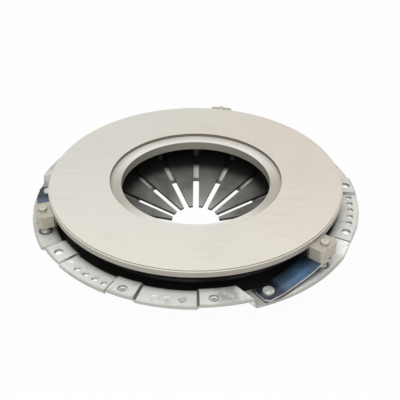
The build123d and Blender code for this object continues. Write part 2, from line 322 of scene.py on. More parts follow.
class Surface(Nodes):
    """A Principled material whose patterns are placed by the piece's own coordinates."""

    def __init__(self, name):
        self.material = bpy.data.materials.new(name)
        self.material.use_nodes = True
        super().__init__(self.material.node_tree)
        self.shader = self.tree.nodes["Principled BSDF"]
        self.place = self.node("ShaderNodeTexCoord").outputs["Object"]

    def split(self, vector):
        parts = self.node("ShaderNodeSeparateXYZ")
        self.link(vector, parts.inputs[0])
        return parts.outputs

    def axes(self):
        return self.split(self.place)

    def height(self):
        return self.axes()[2]

    def distance(self, aside, along):
        """Distance from a point, from its two square parts."""
        return self.math("SQRT", self.plus(self.times(aside, aside), self.times(along, along)))

    def radius(self):
        """Distance from the main axis."""
        x, y, _ = self.axes()
        return self.distance(x, y)

    def tilt(self):
        """How far the surface faces up: one for a flat top, zero for an upright wall."""
        return self.split(self.node("ShaderNodeNewGeometry").outputs["Normal"])[2]

    def turn(self):
        """Angle round the main axis in degrees, folded into one third of the part."""
        x, y, _ = self.axes()
        degrees = self.times(self.math("ARCTAN2", y, x), 180 / math.pi)
        return self.math("FLOORED_MODULO", degrees, STATION_PITCH)

    def along(self, point, direction):
        """Distance of the surface from a point, measured along a direction."""
        aside = self.fill(self.node("ShaderNodeVectorMath", operation="SUBTRACT"), self.place, point)
        dot = self.node("ShaderNodeVectorMath", operation="DOT_PRODUCT")
        self.fill(dot, aside, direction)
        return dot.outputs["Value"]

    def vector(self, x, y, z):
        return self.fill(self.node("ShaderNodeCombineXYZ"), x, y, z)

    def noise(self, scale, detail=4.0, rough=0.5, vector=None):
        return self.fill(self.node("ShaderNodeTexNoise"), vector or self.place, 0.0, scale, detail, rough)

    def spread(self, value, low, high, out_low=0.0, out_high=1.0):
        """A clamped change of range with a smooth ease."""
        made = self.node("ShaderNodeMapRange", interpolation_type="SMOOTHSTEP")
        return self.fill(made, value, low, high, out_low, out_high)

    def past(self, value, low, high, out_low=0.0, out_high=1.0, base=0.0):
        """The same between two places, given in millimetres from a base."""
        return self.spread(value, base + low * MM, base + high * MM, out_low, out_high)

    def until(self, value, low, high, full=1.0, base=0.0):
        """Full up to the first place, easing to zero at the second."""
        return self.past(value, low, high, full, 0.0, base)

    def line(self, value, middle, half):
        """One in a narrow band round a value, fading to zero."""
        away = self.math("ABSOLUTE", self.math("SUBTRACT", value, middle))
        return self.spread(away, half * 0.5, half, 1.0, 0.0)

    def lines(self, value, middles, half):
        """The same round several angles."""
        return self.highest(*(self.line(value, middle % STATION_PITCH, half) for middle in middles))

    def uneven(self, cloud, most):
        """A value to add, up to half of the most either way, from a cloud."""
        return self.times(self.math("SUBTRACT", cloud, 0.5), most)

    def mix(self, factor, first, second):
        """Mixes two colours; each is a socket, a setting or a triple of 0-255 display values."""
        made = self.node("ShaderNodeMix", data_type="RGBA", blend_type="MIX")
        self.feed(factor, made.inputs[0])
        for value, target in zip((first, second), made.inputs[6:8]):
            if isinstance(value, tuple):
                target.default_value = (*srgb(*value), 1)
            elif hasattr(value, "r"):
                target.default_value = (*value, 1)
            else:
                self.link(value, target)
        return made.outputs[2]

    def coats(self, colour, *layers):
        """Lays colours over one another, each with its share."""
        for share, layer in layers:
            colour = self.mix(share, colour, layer)
        return colour

    def bump(self, height, strength, distance):
        made = self.node("ShaderNodeBump")
        made.inputs["Strength"].default_value = strength
        made.inputs["Distance"].default_value = distance * MM
        self.link(height, made.inputs["Height"])
        self.link(made.outputs["Normal"], self.shader.inputs["Normal"])

    def finish(self, colour, grain, rough, metallic, anisotropy=0.0):
        """Gives the shader its colour, metal and a range of roughness, and returns the material."""
        self.link(colour, self.shader.inputs["Base Color"])
        self.link(self.spread(grain, 0.3, 0.7, *rough), self.shader.inputs["Roughness"])
        self.shader.inputs["Metallic"].default_value = metallic
        self.shader.inputs["Anisotropic"].default_value = anisotropy
        return self.material


def srgb(r, g, b):
    """A linear colour from 0-255 display values."""
    def part(c):
        c /= 255
        return c / 12.92 if c <= 0.04045 else ((c + 0.055) / 1.055) ** 2.4
    return part(r), part(g), part(b)


# ---------------- materials

def turned_iron(own):
    """Machined iron: fine turning marks on the faces, darker cast skin and painted shade on the walls,
    painted light and shade on the lugs.
    """
    s = Surface("Turned iron")
    radius, z, upward = s.radius(), s.height(), s.spread(s.tilt(), 0.25, 0.75)
    marks = s.noise(900.0, 2.0, 0.6, s.vector(radius, 0.0, 0.0))
    speck = s.noise(1400.0, 2.0, 0.5)
    sand = s.spread(s.noise(520.0, 4.0, 0.65), 0.38, 0.66)
    lug = s.mix(sand, own.lug_light, own.lug_shade)
    # Painted shade: the lug's sides darker than its top; painted highlight: the top a little lighter.
    lug = s.mix(upward, s.mix(0.34, lug, (138, 132, 118)), s.mix(0.08, lug, (250, 244, 228)))
    on_lug = s.times(s.past(radius, 0.1, 0.5, base=own.ring_radius), s.until(z, 0.5, 1.5, base=LUG_TOP_Z),
                     s.past(z, -1, 0, base=LUG_UNDER_Z))
    ring = s.mix(upward, ring_walls(s, own, radius), turned_face(s, own, radius, marks))
    colour = s.coats(ring, (on_lug, lug), (s.spread(speck, 0.62, 0.78, 0.0, 0.16), (120, 112, 100)))
    s.bump(s.plus(s.times(marks, 0.6), s.times(speck, 0.3)), 0.07, 0.15)
    return s.finish(colour, marks, (0.38, 0.52), 0.3, 0.3)


def turned_face(s, own, radius, marks):
    """The friction face and the recessed band, with painted light: the face lighter towards the front, and
    a painted sheen on the band where its turning marks catch the light.
    """
    x, y, _ = s.axes()
    cloud = s.noise(14.0, 4.0, 0.55)
    broad = s.noise(90.0, 3.0, 0.5, s.vector(radius, 0.0, 0.0))
    streaks = s.noise(1.0, 3.0, 0.6, s.vector(s.times(x, 30.0), s.times(y, 150.0), 0.0))
    facing = s.math("DIVIDE", y, radius)
    sheen = s.highest(s.spread(facing, -0.2, 0.75), s.spread(facing, -0.9, -0.45, 0.75, 0.0))
    return s.coats(
        s.mix(s.past(s.plus(x, s.uneven(cloud, 0.3)), -90, 150), own.iron_light, own.iron_warm),
        # Painted light: the face lighter towards the front.
        (s.until(y, -170, 60, 0.45), (244, 241, 230)),
        (s.spread(marks, 0.35, 0.7, 0.0, 0.05), (150, 144, 132)),
        (s.spread(broad, 0.4, 0.65, 0.0, 0.05), (245, 240, 228)),
        # Painted sheen: the band lighter at the back and the front, darker at the sides.
        (s.until(radius, -0.2, 0.2, base=own.recess_radius), s.mix(sheen, own.iron_side, own.iron_sheen)),
        (s.times(s.spread(streaks, 0.42, 0.66), s.spread(cloud, 0.45, 0.62, 0.01, 0.11)), (176, 172, 160)))


def ring_walls(s, own, radius):
    """The ring's upright walls, darker than the face as painted shade: near-black cast skin below, partly
    painted shade under the rim, turned above, and the bore and the rim's groove.
    """
    step = own.ring_radius - own.rim_step
    # Near-black cast skin below the rim, partly painted shade under the rim.
    cast = s.mix(s.spread(s.noise(160.0, 5.0, 0.6), 0.3, 0.7), own.cast_skin_and_shade, (30, 29, 27))
    stain = s.spread(s.noise(70.0, 5.0, 0.65), 0.45, 0.75, 0.0, 0.3)
    # Turned walls darker than the face: painted shade.
    wall = s.mix(stain, own.iron_wall, (122, 117, 106))
    # Painted shade: the bore wall darker than the face, the wall round the recessed band darker still.
    bore = s.mix(s.past(radius, -2.1, -0.6, base=own.recess_radius), own.iron_bore, (108, 101, 88))
    groove = s.times(s.past(radius, -0.3, -0.1, base=step), s.until(radius, 0.5, 0.8, base=step))
    return s.coats(cast, (s.past(s.height(), -10.4, -8.2, base=FACE_Z), wall),
                   (s.until(radius, 0.9, 2.9, base=own.recess_radius), bore), (groove, (126, 119, 104)))


def strap_shadow(s):
    """Painted shadow on the cover under each strap, behind its seat and round its lug rivet's window."""
    under = []
    for angle in STATIONS.values():
        seat, end = polar(SEAT_R, angle - SEAT_SWEEP), polar(LUG_BOLT_R, angle)
        length, ahead = (end - seat).length, (end - seat).normalized()
        long = s.along(seat, ahead)
        wide = s.math("ABSOLUTE", s.along(seat, Vector((ahead.y, -ahead.x, 0))))
        risen = s.spread(long, 6 * MM, length - 14 * MM)
        reach = s.math("MULTIPLY_ADD", risen, -1.5 * MM, 14.4 * MM)
        fade = s.math("MULTIPLY_ADD", risen, 9.0 * MM, 1.8 * MM)
        strip = s.times(s.spread(s.math("DIVIDE", s.math("SUBTRACT", reach, wide), fade), 0.0, 1.0),
                        s.past(long, -13.5, -11.5), s.until(long, -9, 0, base=length))
        behind = s.times(s.past(long, -24, -20, 0.0, 0.5), s.until(long, -13, -9), s.until(wide, 11, 16))
        window = s.until(s.distance(s.math("SUBTRACT", long, length), wide), 5.8, 9.5)
        under += [strip, behind, window]
    return s.times(s.highest(*under), 0.92)


def knocks(s, radius, turn):
    """Dents all over the cover, and a darker patch at the end of the last pad of each third."""
    dents = s.spread(s.noise(95.0, 3.0, 0.5), 0.58, 0.72, 0.0, 0.34)
    pad_end_patch = s.times(s.line(turn, 40.6, 4.6), s.line(radius, 171 * MM, 15 * MM),
                       s.spread(s.noise(130.0, 3.0, 0.5), 0.35, 0.6, 0.25, 0.75))
    return s.highest(dents, pad_end_patch)


def step_shade(s, radius, turn):
    """Painted shade: dark lines where the cover's edge steps between its levels."""
    narrow = s.times(s.lines(turn, (212.3, 241.6), 0.28), s.past(radius, 165, 168))
    wide = s.times(s.lines(turn, (251.75, 271.25), 0.62), s.past(radius, 161, 163))
    return s.times(s.highest(narrow, wide), 0.85)


def hole_walls(s, radius, turn):
    """The walls of the holes in the cover's edge, apart from those near the end of the last pad of each
    third.
    """
    upright = s.spread(s.math("ABSOLUTE", s.tilt()), 0.3, 0.5, 1.0, 0.0)
    other = s.spread(s.line(turn, 46.4, 8.0), 0.0, 1.0, 1.0, 0.0)
    return s.times(s.line(radius, PUNCH_CIRCLE + 0.1 * MM, 9 * MM), other, upright, 0.95)


def pressed_steel(own):
    """Bright pressed sheet: satin with faint drawing lines and smudges, painted shade in its creases and
    inside it, and painted shadow under the straps.
    """
    s = Surface("Pressed steel")
    radius, turn, tilt, z = s.radius(), s.turn(), s.tilt(), s.height()
    light, crease_shade = own.steel_light, own.steel_crease_shade
    cloud = s.noise(26.0, 5.0, 0.6)
    fine = s.noise(700.0, 3.0, 0.6)
    lines = s.noise(420.0, 2.0, 0.5, s.vector(radius, 0.0, s.times(z, 3.0)))
    # Painted shade on sloping faces, stronger towards the inner edge.
    crease = s.times(s.spread(tilt, 0.25, 0.4), s.spread(tilt, 0.66, 0.8, 1.0, 0.0),
                     s.past(radius, 166, 183, 0.95, 0.5))
    # A thin darker line just inside the outer rim.
    rim_line = s.times(s.line(radius, 182.6 * MM, 0.6 * MM), s.spread(cloud, 0.4, 0.6, 0.1, 0.6))
    # Painted shade on the upper lips of the holes.
    lips = s.highest(s.past(z, -2.2, -1.7), s.line(z, -4.1 * MM, 0.9 * MM))
    pale = s.coats(
        s.mix(s.spread(cloud, 0.35, 0.68), light, own.steel_shade),
        (s.spread(lines, 0.45, 0.7, 0.0, 0.12), (190, 189, 184)),
        (s.spread(fine, 0.55, 0.8, 0.0, 0.2), (240, 239, 234)),
        (knocks(s, radius, turn), (158, 157, 150)),
        (crease, crease_shade),
        # Painted shade on the flange towards its inner bend, under the ring's rim.
        (s.until(s.plus(radius, s.times(cloud, 3 * MM)), 159, 170, 0.8), (104, 102, 95)),
        (rim_line, (140, 138, 131)),
        # Painted shade along the steps.
        (step_shade(s, radius, turn), crease_shade),
        # Painted shadow under the straps.
        (strap_shadow(s), (34, 33, 30)),
        # Painted shade on the cover's outer edge.
        (s.times(s.past(radius, 183.3, 183.7), 0.9), (160, 158, 152)),
        # Hole walls in the light steel, with painted shade on their upper lips.
        (hole_walls(s, radius, turn), s.mix(s.times(lips, 0.8), light, crease_shade)))
    # Painted shade inside the cover, apart from the lip round its opening, which keeps the light steel.
    dark = s.mix(s.spread(cloud, 0.35, 0.65), own.steel_inner_shade, (20, 19, 18))
    dark = s.mix(s.times(s.past(radius, 75, 78, 0.25, 1.0), s.until(radius, 88, 98)), dark, light)
    s.bump(s.plus(s.times(fine, 0.4), s.times(lines, 0.6)), 0.1, 0.12)
    # Inside the cover's wall the painted shade takes over.
    return s.finish(s.mix(s.until(radius, 157.6, 159.2), pale, dark), cloud, (0.42, 0.6), 0.12)


def spring_steel(own):
    """Dark spring steel, rubbed bright towards the finger tips, with painted shadow under the ring and
    painted shade on its upright faces.
    """
    s = Surface("Spring steel")
    radius = s.radius()
    cloud = s.noise(34.0, 5.0, 0.6)
    grain = s.noise(520.0, 3.0, 0.6)
    # Painted shadow of the ring over the outer part of the spring.
    ring_shadow = s.plus(s.past(radius, 72, 98), s.uneven(cloud, 0.5))
    colour = s.coats(
        s.mix(s.spread(cloud, 0.35, 0.65), own.spring_mid, own.spring_dark),
        (s.times(s.until(radius, 28, 52), s.spread(cloud, 0.2, 0.7, 0.6, 1.0)), own.spring_tip),
        (s.spread(grain, 0.5, 0.75, 0.0, 0.25), (160, 158, 152)),
        (s.spread(ring_shadow, 0.05, 0.95, 0.0, 0.93), own.spring_shade),
        # Painted shade on the upright faces, the walls of the slots.
        (s.spread(s.math("ABSOLUTE", s.tilt()), 0.4, 0.75, 0.9, 0.0), own.spring_shade))
    s.bump(grain, 0.12, 0.1)
    return s.finish(colour, cloud, (0.34, 0.5), 0.45)


def blued_steel(own):
    """Heat-blued strap sheet, darker where it lies in the cover, with painted shade under the lug."""
    s = Surface("Blued strap")
    z = s.height()
    cloud = s.noise(60.0, 4.0, 0.55)
    grain = s.noise(600.0, 3.0, 0.6)
    seated = s.times(s.until(z, 2.15, 3.0, 0.95, base=STRAP_LEVEL), s.spread(cloud, 0.3, 0.6, 0.6, 1.0))
    colour = s.coats(
        s.mix(s.past(z, 1.5, 9, base=STRAP_LEVEL), own.blue_deep, own.blue_mid),
        # Painted shade where the strap runs under the lug.
        (s.past(z, 7, 13, base=STRAP_LEVEL), own.blue_lug_shade),
        (s.spread(cloud, 0.4, 0.7, 0.0, 0.35), (96, 122, 144)),
        (seated, own.blue_dark),
        (s.spread(grain, 0.55, 0.8, 0.0, 0.2), (150, 162, 172)))
    s.bump(grain, 0.1, 0.1)
    return s.finish(colour, cloud, (0.42, 0.56), 0.3)


def sheared_edge():
    """The bare, bright cut edge of a strap leaf."""
    s = Surface("Sheared edge")
    grain = s.noise(900.0, 3.0, 0.6)
    s.bump(grain, 0.15, 0.08)
    return s.finish(s.mix(s.spread(grain, 0.35, 0.65), (212, 213, 210), (180, 182, 180)),
                    grain, (0.3, 0.45), 0.3)


def rivet_steel(own):
    """Cold-headed rivet steel with a few dents, with painted light low down in the cover and painted shade
    on the upright sides.
    """
    s = Surface("Rivet steel")
    z = s.height()
    cloud = s.noise(300.0, 4.0, 0.55)
    grain = s.noise(1500.0, 3.0, 0.6)
    colour = s.coats(
        # Painted light: rivets low in the cover lighter.
        s.mix(s.past(z, 0, 15), (240, 243, 240), own.rivet_light),
        (s.spread(cloud, 0.35, 0.65), (196, 195, 188)),
        (s.spread(grain, 0.55, 0.8, 0.0, 0.3), (120, 122, 120)),
        # Painted shade on the upright sides above the cover.
        (s.times(s.spread(s.tilt(), 0.3, 0.8, 0.75, 0.0), s.past(z, -8, -6)), (132, 126, 114)))
    s.bump(s.plus(cloud, s.times(grain, 0.3)), 0.18, 0.12)
    return s.finish(colour, cloud, (0.28, 0.42), 0.3)


def drawn_wire():
    """Drawn wire of the pivot rings, which their rivets share, dark partly as painted shade deep inside the
    cover.
    """
    s = Surface("Drawn wire")
    grain = s.noise(800.0, 3.0, 0.6)
    cloud = s.spread(s.noise(80.0, 4.0, 0.6), 0.35, 0.65)
    s.bump(grain, 0.1, 0.08)
    return s.finish(s.mix(cloud, (92, 91, 88), (66, 65, 62)), grain, (0.35, 0.5), 0.6)


# ---------------- settings

def size(label, text, millimetres):
    return FloatProperty(name=label, description=text, default=millimetres * MM, unit="LENGTH", precision=5)


def count(label, text, number, least):
    return IntProperty(name=label, description=text, default=number, min=least)


def power(label, text, watts):
    return FloatProperty(name=label, description=text, default=watts, unit="POWER")


def paint(label, text, value):
    return FloatVectorProperty(name=label, description=text, default=value, subtype="COLOR",
                               size=3, min=0.0, max=1.0)


def tint(label, text, *levels):
    """A colour setting from 0-255 display values."""
    return paint(label, text, srgb(*levels))


class CastingSettings(bpy.types.PropertyGroup):
    ring_radius: size("Ring radius", "Outer radius of the pressure ring", 163.5)
    rim_step: size("Rim step", "Width of the small step round the rim", 1.3)
    step_depth: size("Step depth", "Depth of the small step round the rim", 1.5)
    rim_thickness: size("Rim thickness", "Height of the ring's overhanging rim", 8.0)
    bore_radius: size("Bore radius", "Radius of the ring's bore", 83.5)
    recess_radius: size("Recess radius", "Outer radius of the recessed inner band", 96.1)
    recess_depth: size("Recess depth", "Depth of the inner band below the friction face", 4.6)
    bore_wall: size("Bore wall", "Height of the wall of the bore", 10.3)
    body_radius: size("Body radius", "Radius of the ring below its rim", 150.5)
    lug_width: size("Lug width", "Width of a lug", 27.0)
    lug_reach: size("Lug reach", "Radius of a lug's outer end", 180.0)
    lug_corner: size("Lug corner", "Rounding of a lug's outer corners", 4.5)
    segments: count("Segments", "Faces round the ring", 288, 48)
    iron_light: tint("Light iron", "Machined face, light areas", 228, 226, 215)
    iron_warm: tint("Warm iron", "Machined face, warm areas", 230, 220, 208)
    iron_sheen: tint("Band sheen", "Inner band where its turning marks catch the light", 252, 250, 242)
    iron_side: tint("Band side", "Inner band where its turning marks lie along the light", 190, 185, 172)
    # The wall and bore colours are darker than the face as painted shade.
    iron_wall: tint("Turned wall", "Turned outer and bore walls", 160, 156, 147)
    iron_bore: tint("Bore", "Turned wall of the bore", 154, 152, 139)
    lug_light: tint("Sandy iron", "Cast lugs, light grains", 198, 192, 175)
    lug_shade: tint("Sandy shade", "Cast lugs, darker grains", 172, 166, 150)
    # Near-black partly as painted shade under the rim.
    cast_skin_and_shade: tint("Cast skin", "Cast surfaces below the rim", 40, 38, 35)


class CoverSettings(bpy.types.PropertyGroup):
    radius: size("Cover radius", "Outer radius of the cover", COVER_RADIUS / MM)
    sheet: size("Sheet", "Thickness of the cover's sheet", 3.5)
    bend: size("Top bend", "Inner radius of the bend at the edge", 4.0)
    segment_drop: size("Segment drop", "How far the edge lies below the pads", 2.5)
    segments: count("Segments", "Faces round the cover", 240, 120)
    steel_light: tint("Light steel", "Cover, light areas", 246, 245, 239)
    steel_shade: tint("Steel shade", "Cover, greyer areas", 233, 232, 226)
    # Painted shade in the cover's creases, along its steps and on its hole lips.
    steel_crease_shade: tint("Crease shade", "Shade in the cover's creases", 74, 72, 66)
    # Painted shade inside the cover.
    steel_inner_shade: tint("Inner steel", "Shaded steel inside the cover", 30, 29, 27)


class SpringSettings(bpy.types.PropertyGroup):
    fingers: count("Fingers", "Number of fingers", 15, 6)
    thickness: size("Thickness", "Thickness of the diaphragm spring", 3.05)
    tip_radius: size("Tip radius", "Radius of the ring of finger tips", 27.6)
    outer_radius: size("Outer radius", "Outer radius of the spring", 146.0)
    slot_width: size("Slot width", "Width of a slot between fingers", 7.0)
    window_width: size("Window width", "Width of the window at a slot's end", 13.0)
    spring_mid: tint("Spring steel", "Diaphragm spring, lighter areas", 134, 133, 128)
    spring_dark: tint("Dark spring steel", "Diaphragm spring, darker areas", 106, 105, 100)
    # Painted shadow under the ring and painted shade on the slot walls.
    spring_shade: tint("Shaded steel", "Diaphragm spring under the ring", 24, 23, 22)
    spring_tip: tint("Worn tips", "Rubbed steel at the finger tips", 172, 171, 166)


class StrapSettings(bpy.types.PropertyGroup):
    leaf: size("Leaf", "Thickness of one strap leaf", 0.7)
    width: size("Width", "Width of a strap", 22.0)
    seat_end: size("Seat end", "Reach of a strap past its cover rivet", 10.5)
    lug_end: size("Lug end", "Reach of a strap past its lug rivet", 7.0)
    corner: size("Corner", "Cut corner of a strap", 4.0)
    lug_share: FloatProperty(name="Lug share", description="Strap width at the lug against its full width",
                             default=0.78, min=0.5, max=1.0)
    seat_flat: size("Seat flat", "Flat length beside the cover rivet", 9.0)
    lug_flat: size("Lug flat", "Flat length beside the lug rivet", 6.5)
    blue_dark: tint("Dark blue", "Strap sheet beside the cover rivet", 24, 28, 34)
    blue_deep: tint("Deep blue", "Strap sheet in the cover", 72, 91, 112)
    blue_mid: tint("Mid blue", "Strap sheet as it rises", 62, 94, 126)
    # Painted shade under the lug.
    blue_lug_shade: tint("Shaded blue", "Strap sheet under the lug", 38, 50, 62)
    rivet_light: tint("Rivet", "Rivet heads", 216, 212, 199)


class StageSettings(bpy.types.PropertyGroup):
    key_power: power("Key light", "Power of the overhead light", 11.5)
    fill_power: power("Fill light", "Power of the front light", 2.0)
    low_power: power("Low light", "Power of the low front light", 1.8)
    sky: FloatProperty(name="Room light", description="Strength of the even light", default=0.45)
    floor_tint: paint("Floor", "Colour of the floor", (0.9, 0.9, 0.89))


# ---------------- pieces

class CLUTCH_OT_casting(bpy.types.Operator):
    """Makes the pressure ring with its friction face, inner band and three lugs."""
    bl_idname = "clutch.casting"
    bl_label = "Pressure ring"

    heel_z = 5.0 * MM
    heel_radius = 128.0 * MM
    heel_slope = 6.0 * MM
    ridge_z = -1.5 * MM
    ridge_radius = 143.0 * MM
    ridge_foot = 6.0 * MM
    ridge_top = 2.4 * MM
    lug_root = 6.0 * MM

    def execute(self, context):
        s = context.scene.clutch_casting
        bm = bmesh.new()
        profile_ring(bm, self.section(s), s.segments)
        for angle in STATIONS.values():
            self.lug(bm, s, angle)
        face_out(bm)
        obj = piece("pressure_plate_ring", bm, [turned_iron(s)])
        soften(obj, 0.35 * MM)
        fit(obj, "pressure_ring", PLATE_BODY)
        return {"FINISHED"}

    def section(self, s):
        """Half section of the ring, from the bore round over the face."""
        step_z = FACE_Z - s.step_depth
        band_z = FACE_Z - s.recess_depth
        under_z = band_z - s.bore_wall
        rim_z = FACE_Z - s.rim_thickness
        step, ridge = s.ring_radius - s.rim_step, self.ridge_radius
        return [
            (s.bore_radius, under_z), (s.bore_radius, band_z), (s.recess_radius, band_z),
            (s.recess_radius, FACE_Z), (step, FACE_Z), (step, step_z), (s.ring_radius, step_z),
            (s.ring_radius, rim_z), (s.body_radius, rim_z), (s.body_radius, self.heel_z),
            (ridge + self.ridge_foot, self.heel_z), (ridge + self.ridge_top, self.ridge_z),
            (ridge - self.ridge_top, self.ridge_z), (ridge - self.ridge_foot, self.heel_z),
            (self.heel_radius, self.heel_z), (self.heel_radius - self.heel_slope, under_z),
        ]

    def lug(self, bm, s, angle):
        """A block with rounded outer corners that grows out of the ring's body."""
        inner = s.body_radius - self.lug_root
        length = s.lug_reach - inner
        block = bmesh.new()
        bmesh.ops.create_cube(block, size=1.0)
        bmesh.ops.scale(block, verts=block.verts, vec=(length, s.lug_width, LUG_TOP_Z - LUG_UNDER_Z))
        upright = [e for e in block.edges if all(v.co.x > 0 for v in e.verts)
                   and (e.verts[0].co - e.verts[1].co).xy.length < 0.001 * MM]
        bevel(block, upright, s.lug_corner, 6)
        move(block, (inner + length / 2, 0, (LUG_TOP_Z + LUG_UNDER_Z) / 2))
        rotate(block, angle)
        add_mesh(bm, block)


class CLUTCH_OT_cover(bpy.types.Operator):
    """Makes the pressed cover with its stepped edge, pads, holes and dome."""
    bl_idname = "clutch.cover"
    bl_label = "Cover"

    wall_radius = 158.5 * MM
    foot_radius = 157.4 * MM
    foot_z = -14.6 * MM
    channel_outer = foot_radius - 1.4 * MM
    channel_inner = 150.0 * MM
    channel_z = -20.5 * MM
    bead_outer = 128.0 * MM
    bead_inner = 108.0 * MM
    lip_radius, lip_z = 80.0 * MM, -27.4 * MM
    opening, opening_z = 74.0 * MM, -28.0 * MM
    fold_start = 217.0
    bolt_circle = 175.0 * MM
    # holes as (degrees round the cover, radius in millimetres)
    bolt_holes = ((217.0, 4.2), (246.6, 4.4), (276.2, 4.6))
    punches = ((227.7, 3.0), (231.8, 3.0), (235.7, 3.0), (239.6, 3.0), (266.3, 3.5))
    dimples = ((257.3, 3.2), (261.3, 3.2))
    dimple_depth = 0.5 * MM
    first_punch, first_punch_radius = 223.6, 3.0
    blind_radius, blind_depth = 4.0, 0.9 * MM
    window_radius = 5.3
    drill_depth = -20.0 * MM

    def execute(self, context):
        s = context.scene.clutch_cover
        bm = bmesh.new()
        profile_ring(bm, self.section(s), s.segments)
        self.round_bends(bm, s)
        self.score_steps(bm, s)
        self.step_edge(bm, s)
        merge(bm, 0.06 * MM)
        face_out(bm)
        self.break_edges(bm)
        obj = piece("cover_pressed_shell", bm, [pressed_steel(s)])
        punch(obj, self.hole_tools(s))
        shade(obj.data, 40)
        steady(obj)
        fit(obj, "cover_pressing", COVER_BODY)
        return {"FINISHED"}

    def section(self, s):
        """Half section of the cover with its edge at pad height."""
        sheet, foot, channel = s.sheet, self.foot_radius, self.channel_z
        bead = heights("lower_pivot_ring")[0] - 0.02 * MM
        return [
            (s.radius, 0.0), (self.wall_radius, 0.0), (foot, self.foot_z), (self.channel_outer, channel),
            (self.channel_inner, channel), (self.bead_outer, bead), (self.bead_inner, bead),
            (self.lip_radius, self.lip_z), (self.opening, self.opening_z),
            (self.opening, self.opening_z - sheet),
            (self.lip_radius - 0.8 * MM, self.lip_z - sheet - 0.2 * MM),
            (self.bead_inner - 0.6 * MM, bead - sheet), (self.bead_outer + 0.4 * MM, bead - sheet),
            (self.channel_inner, channel - sheet), (foot, channel - sheet),
            (foot + sheet, channel + MM), (foot + sheet, self.foot_z),
            (self.wall_radius + sheet, -sheet), (s.radius, -sheet),
        ]

    def ring_edges(self, bm, radius, height):
        """The edges that run round at a radius and height."""
        def here(v):
            return abs(math.hypot(v.co.x, v.co.y) - radius) < 0.01 * MM and abs(v.co.z - height) < 0.01 * MM
        return [e for e in bm.edges if all(here(v) for v in e.verts)]

    def round_bends(self, bm, s):
        """Rounds the bends between the wall, the edge and the channel."""
        for radius, height, bend, parts in (
                (self.wall_radius, 0.0, s.bend * 0.9, 6),
                (self.wall_radius + s.sheet, -s.sheet, s.bend * 0.4, 3),
                (self.channel_inner, self.channel_z, 2.5 * MM, 3),
                (self.channel_outer, self.channel_z, 2.0 * MM, 3)):
            bevel(bm, self.ring_edges(bm, radius, height), bend, parts)

    def steps(self, s):
        """Steps round one third of the edge.

        Each is the angle where it starts at the wall and at the rim, its width at both, and the
        heights before and after.
        """
        low = -s.segment_drop
        return [
            (221.5, 221.5, 0.55, 0.4, 0.0, low), (241.9, 241.9, 0.4, 0.4, low, 0.0),
            (251.3, 251.3, 0.9, 0.8, 0.0, low), (270.7, 270.8, 0.9, 0.8, low, 0.0),
            (284.2, 288.2, 0.8, 0.8, 0.0, STRAP_LEVEL), (327.9, 327.9, 4.6, 4.6, STRAP_LEVEL, 0.0),
        ]

    def fences(self, s):
        """Upright planes at the start and end of each step, with its two heights."""
        for wall, rim, width_wall, width_rim, before, after in self.steps(s):
            yield self.fence(s, wall, rim), self.fence(s, wall + width_wall, rim + width_rim), before, after

    def fence(self, s, wall, rim):
        """A point and a normal of the upright plane through two places on the edge."""
        first = polar(self.wall_radius, math.radians(wall))
        run = polar(s.radius, math.radians(rim)) - first
        return first, Vector((-run.y, run.x, 0)).normalized()

    def score_steps(self, bm, s):
        """Cuts the mesh along both sides of every step, so that each step is crisp."""
        for third in THIRDS:
            turned = Matrix.Rotation(math.radians(third), 3, "Z")
            for start, end, _, _ in self.fences(s):
                for point, normal in (start, end):
                    self.score(bm, turned @ point, turned @ normal)

    def score(self, bm, point, normal):
        """Cuts the faces near a point along a plane."""
        reach = 34 * MM
        near = [f for f in bm.faces if (f.calc_center_median() - point).xy.length < reach]
        around = set(near)
        for face in near:
            around.update(face.edges)
            around.update(face.verts)
        cut(bm, list(around), point, normal, 0.02 * MM)

    def level(self, place, fences):
        """Height of the edge at a place."""
        angle = math.degrees(math.atan2(place.y, place.x))
        third = math.floor((angle - self.fold_start) / STATION_PITCH)
        back = Matrix.Rotation(math.radians(-STATION_PITCH * third), 3, "Z")
        base = back @ Vector((place.x, place.y, 0))
        height = 0.0
        for (start, start_normal), (end, end_normal), before, after in fences:
            past, left = (base - start).dot(start_normal), (end - base).dot(end_normal)
            if past > 0:
                height = before + (after - before) * (past / (past + left) if left > 0 else 1.0)
        return height

    def step_edge(self, bm, s):
        """Moves the edge and the top of the wall to their heights round the cover."""
        rise = -self.foot_z - s.sheet
        fences = list(self.fences(s))
        for v in bm.verts:
            share = min(1.0, (v.co.z - self.foot_z) / rise)
            if share > 0:
                v.co.z += share * self.level(v.co, fences)

    def break_edges(self, bm):
        """Rounds every sharp edge a little."""
        sharp = [e for e in bm.edges if e.calc_face_angle(0) > math.radians(33)]
        bevel(bm, sharp, 0.3 * MM, 2, clamp_overlap=False)

    def hole_tools(self, s):
        """Tools for the mounting holes, punched holes, dimples and rivet windows."""
        tools = bmesh.new()
        deep, low = self.drill_depth, -s.segment_drop
        for third in THIRDS:
            for angle, radius in self.bolt_holes:
                self.drill(tools, angle + third, self.bolt_circle, radius, deep, 0.0)
            for angle, radius in self.punches:
                self.drill(tools, angle + third, PUNCH_CIRCLE, radius, deep, low)
            for angle, radius in self.dimples:
                self.drill(tools, angle + third, PUNCH_CIRCLE, radius, low - self.dimple_depth)
        for third in THIRDS[1:]:
            self.drill(tools, self.first_punch + third, PUNCH_CIRCLE, self.first_punch_radius, deep, low)
        self.drill(tools, self.first_punch, PUNCH_CIRCLE, self.blind_radius, low - self.blind_depth)
        for angle in STATIONS.values():
            self.drill(tools, math.degrees(angle), LUG_BOLT_R, self.window_radius, deep)
        return tools

    def drill(self, tools, angle, distance, radius, low, top=None):
        """A round tool; given the sheet's height, it also breaks the hole's upper edge."""
        points = outline(low, (0, 0), (radius, 0))
        if top is not None:
            points += outline(top, (radius, -0.8), (radius + 0.55, 0.02))
            radius += 0.55
        points += outline(5 * MM, (radius, 0), (0, 0))
        lathe(tools, points, polar(distance, math.radians(angle)), steps=36)


